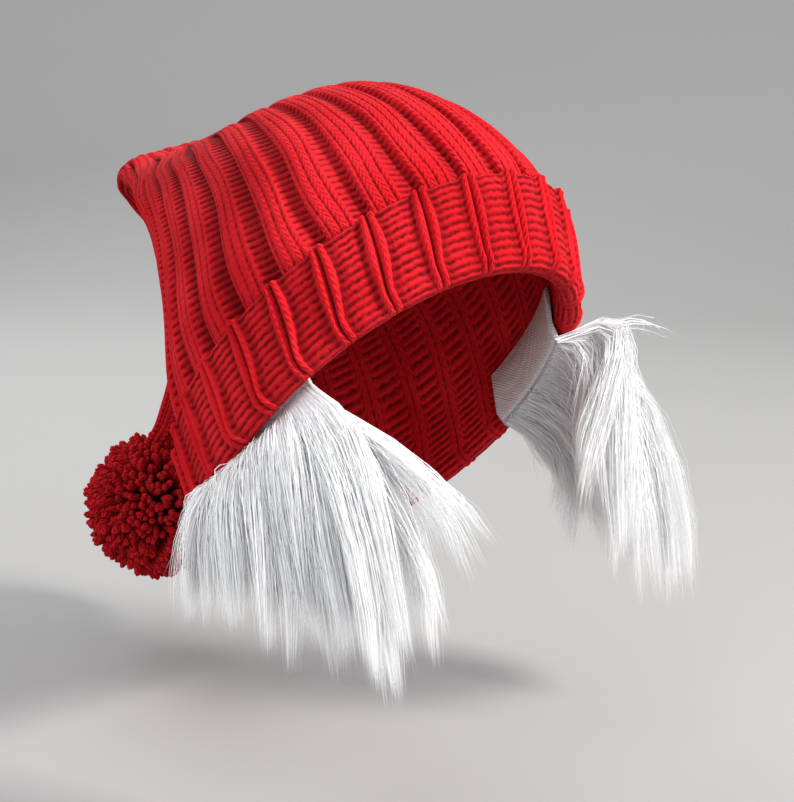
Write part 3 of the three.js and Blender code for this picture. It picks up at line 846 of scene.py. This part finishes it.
def knit_material(name, relief=0.0013, shift=0.0):
    """Red plied yarn: chevrons of legs on knit columns, level bars on purl columns, and fine fibres, with
    painted shade in the crevices between stitches and deeper painted shade in the ribs' grooves.
    """
    g = Graph(name)
    column, row = g.stitch()
    knit = g.attribute("knit")
    ply = g.noise(scale=420.0, detail=1.0)
    uneven = g.math("MULTIPLY", g.math("SUBTRACT", g.noise(scale=160.0, detail=1.0), 0.5), 0.25)
    row = g.math("ADD", row, uneven)
    across = g.math("FRACT", g.math("ADD", column, shift))
    from_middle = g.math("ABSOLUTE", g.math("SUBTRACT", across, 0.5))
    wave = g.cosine(g.math("SUBTRACT", row, g.math("MULTIPLY", from_middle, 2.3)))
    leg = g.math("ADD", g.math("MULTIPLY", wave, 0.17), 0.83)
    legs = g.math("MULTIPLY", leg, g.ramp(from_middle, 0.0, 0.22, start=0.28))
    level = g.math("ADD", row, g.math("MULTIPLY", g.cosine(across), 0.03))
    bars = g.math("ADD", g.math("MULTIPLY", g.cosine(level), 0.38), 0.52)
    height = g.math("ADD", bars, g.math("MULTIPLY", knit, g.math("SUBTRACT", legs, bars)))
    fibre = g.noise(scale=1500.0, detail=3.0)
    rough = g.math("ADD", g.math("MULTIPLY", fibre, 0.25), g.math("MULTIPLY", ply, 0.45))
    g.bump(g.math("ADD", height, rough), relief)
    open_red = g.mix(g.ramp(g.noise(scale=28.0), 0.35, 0.7), RED, BRIGHT_RED)
    # Painted shade: the low parts of the stitch relief, broken up by the ply noise, turn toward the shade
    # red
    lit = g.math("ADD", height, g.math("MULTIPLY", g.math("SUBTRACT", ply, 0.5), 0.8))
    colour = g.mix(g.ramp(lit, 0.0, 0.6), PAINTED_SHADE_RED, open_red)
    # Deeper painted shade in the ribs' grooves, from the groove mask
    g.colour(g.mix(g.math("MULTIPLY", g.attribute("groove_shade"), 0.72), colour, GROOVE_SHADE_RED))
    g.woolly(sheen=0.12)
    return g.material


def yarn_material(name):
    """Red plied yarn cut to ends: three twisted plies, with painted shade between the plies and toward the
    middle of the ball.
    """
    g = Graph(name)
    round_it, along = g.stitch()
    ply = g.cosine(g.math("MULTIPLY", round_it, 3.0))
    fibre = g.noise(scale=1600.0, detail=3.0)
    height = g.math("ADD", g.math("MULTIPLY", ply, 0.35), g.math("MULTIPLY", fibre, 0.6))
    g.bump(height, 0.0009)
    open_red = g.mix(g.attribute("tone"), RED, BRIGHT_RED)
    # Painted shade toward the middle of the ball, and between the plies on the next line
    end = g.mix(g.ramp(along, 0.3, 0.85), PAINTED_SHADE_RED, open_red)
    g.colour(g.mix(g.ramp(ply, -1.6, 0.0), PAINTED_SHADE_RED, end))
    g.woolly(sheen=0.1)
    return g.material


def fur_material(name):
    """Long white pile with painted cool shade toward the roots, and glossy along each hair."""
    g = Graph(name)
    _, along = g.stitch()
    hair = g.mix(g.attribute("tone"), HAIR_WHITE, BRIGHT_WHITE)
    # Painted cool shade on the hair toward its roots, under the hem
    g.colour(g.mix(g.ramp(along, 0.0, 0.3), ROOT_SHADE_WHITE, hair))
    g.bump(g.noise(scale=900.0), 0.00012)
    g.plain(Roughness=0.5, Specular_IOR_Level=0.35, Sheen_Weight=0.1)
    return g.material


def backing_material(name):
    """Pale woven cloth: fine crossing threads, with painted shade in the low parts of the weave."""
    g = Graph(name)
    threads = {"Scale": 260.0, "Distortion": 0.6}
    weave = [g.texture("ShaderNodeTexWave", threads, bands_direction=way) for way in ("X", "Z")]
    height = g.math("MULTIPLY", *weave)
    g.bump(height, 0.0004)
    # Painted shade where the threads dip, pale where they cross on top
    g.colour(g.mix(g.ramp(height, 0.0, 0.7), CLOTH_SHADE, CLOTH_PALE))
    g.plain(Roughness=0.9, Specular_IOR_Level=0.2)
    return g.material


knit_red = knit_material("knit_red")
cuff_red = knit_material("cuff_red", relief=0.0012, shift=0.5)
inside_red = knit_material("inside_red", relief=0.0011, shift=0.5)
tail_red = knit_material("tail_red")

fold_row = rows_at(CROWN_END)
crown_places = places_between(rows_at(CROWN_START), fold_row, CROWN_POINTS)
inside_places = places_between(INSIDE_START, fold_row, INSIDE_POINTS)
tail_places = places_between(fold_row, rows_at(TAIL_END), TAIL_POINTS)
knit_piece("crown_knit", "crown", knit_red, crown_places, CROWN_STEPS)
knit_piece("crown_inside", "crown", inside_red, inside_places, COARSE_STEPS, inner=True)
cuff_piece(cuff_red)
knit_piece("tail_knit", "tail", tail_red, tail_places, COARSE_STEPS)
pompom_piece(yarn_material("pompom_red"))
cloth = backing_material("backing_cloth")
right_side = Side(mirrored=False, roots=(3.5, 6.8), down=18.0, out=7.0, flare=22.0, puff=4.0, sweep=25.0,
                  locks=RIGHT_LOCKS, wisps=RIGHT_WISPS)
right_side.build("fur_right_hair", "fur_right", fur_material("fur_right_white"), cloth, seed=3)
left_side = Side(mirrored=True, roots=(4.2, 7.0), down=12.0, out=48.0, flare=0.0, puff=18.0, sweep=0.0,
                 locks=LEFT_LOCKS, wisps=LEFT_WISPS)
left_side.build("fur_left_hair", "fur_left", fur_material("fur_left_white"), cloth, seed=15)

# Camera at the photograph's angle, in metres. The shift is in pixels of the photograph's width.
AZIMUTH = math.radians(-42.419)
ELEVATION = math.radians(15.0)
ROLL = math.radians(0.8)
DISTANCE = 0.7
VIEW_ANGLE = math.radians(28.0)
SHIFT_PIXELS = 22.97
PHOTO_WIDTH = 794
back = Vector((math.sin(AZIMUTH) * math.cos(ELEVATION), -math.cos(AZIMUTH) * math.cos(ELEVATION),
               math.sin(ELEVATION)))
right = Vector((math.cos(AZIMUTH), math.sin(AZIMUTH), 0))
up = back.cross(right)
lens_right = right * math.cos(ROLL) + up * math.sin(ROLL)
lens_up = up * math.cos(ROLL) - right * math.sin(ROLL)
camera_data = bpy.data.cameras.new("camera")
camera_data.sensor_fit = "HORIZONTAL"
camera_data.angle = VIEW_ANGLE
camera_data.shift_y = SHIFT_PIXELS / PHOTO_WIDTH
camera = bpy.data.objects.new("camera", camera_data)
turned = Matrix((lens_right, lens_up, back)).transposed().to_4x4()
camera.matrix_world = Matrix.Translation(back * DISTANCE) @ turned
bpy.context.scene.collection.objects.link(camera)
bpy.context.scene.camera = camera

# Plain pale floor that bends up into a backdrop, in metres
FLOOR = -0.165
FLOOR_REACH = 40.0
BEND_START = 1.1
BEND_RADIUS = 1.2
BACKDROP_TOP = 5.0


def stage_piece():
    """Floor and backdrop in one sheet, square to the camera."""
    bend = [(-FLOOR_REACH, 0.0), (BEND_START, 0.0)]
    for angle in np.linspace(0.1, math.pi / 2, 14):
        bend.append((BEND_START + BEND_RADIUS * math.sin(angle), BEND_RADIUS * (1 - math.cos(angle))))
    bend.append((BEND_START + BEND_RADIUS, BACKDROP_TOP))
    away = -back.xy.normalized()
    side = Vector((away.y, -away.x))
    verts = []
    for along, high in bend:
        for reach in (-FLOOR_REACH, FLOOR_REACH):
            flat = away * along + side * reach
            verts.append((flat.x, flat.y, FLOOR + high))
    faces = [(2 * k, 2 * k + 1, 2 * k + 3, 2 * k + 2) for k in range(len(bend) - 1)]
    mesh = bpy.data.meshes.new("floor")
    mesh.from_pydata(verts, [], faces)
    for polygon in mesh.polygons:
        polygon.use_smooth = True
    g = Graph("pale_floor")
    g.colour(g.mix(g.noise(scale=3.0), FLOOR_SHADE, FLOOR_PALE))
    g.plain(Roughness=0.75)
    mesh.materials.append(g.material)
    floor = bpy.data.objects.new("floor", mesh)
    bpy.context.scene.collection.objects.link(floor)


def area_light(name, place, size, energy, colour=(1, 1, 1)):
    """Square lamp that points at the middle of the hat."""
    data = bpy.data.lights.new(name, "AREA")
    data.size = size
    data.energy = energy
    data.color = colour
    lamp = bpy.data.objects.new(name, data)
    lamp.location = place
    lamp.rotation_euler = (-Vector(place)).to_track_quat("-Z", "Y").to_euler()
    bpy.context.scene.collection.objects.link(lamp)


stage_piece()
key_place = right * 1.1 + back * 0.4 + Vector((0, 0, 0.85))
fill_place = right * -1.1 + back * 0.9 + Vector((0, 0, 0.35))
rim_place = right * -0.5 - back * 1.0 + Vector((0, 0, 1.0))
area_light("key", key_place, size=0.35, energy=32.0, colour=(1.0, 0.98, 0.95))
area_light("fill", fill_place, size=0.9, energy=6.0, colour=(0.97, 0.98, 1.0))
area_light("rim", rim_place, size=0.7, energy=8.0)
world = bpy.data.worlds.new("studio")
world.use_nodes = True
sky = world.node_tree.nodes["Background"]
sky.inputs["Color"].default_value = (0.93, 0.95, 0.98, 1)
sky.inputs["Strength"].default_value = 1.0
bpy.context.scene.world = world
bpy.context.scene.view_settings.view_transform = "Standard"
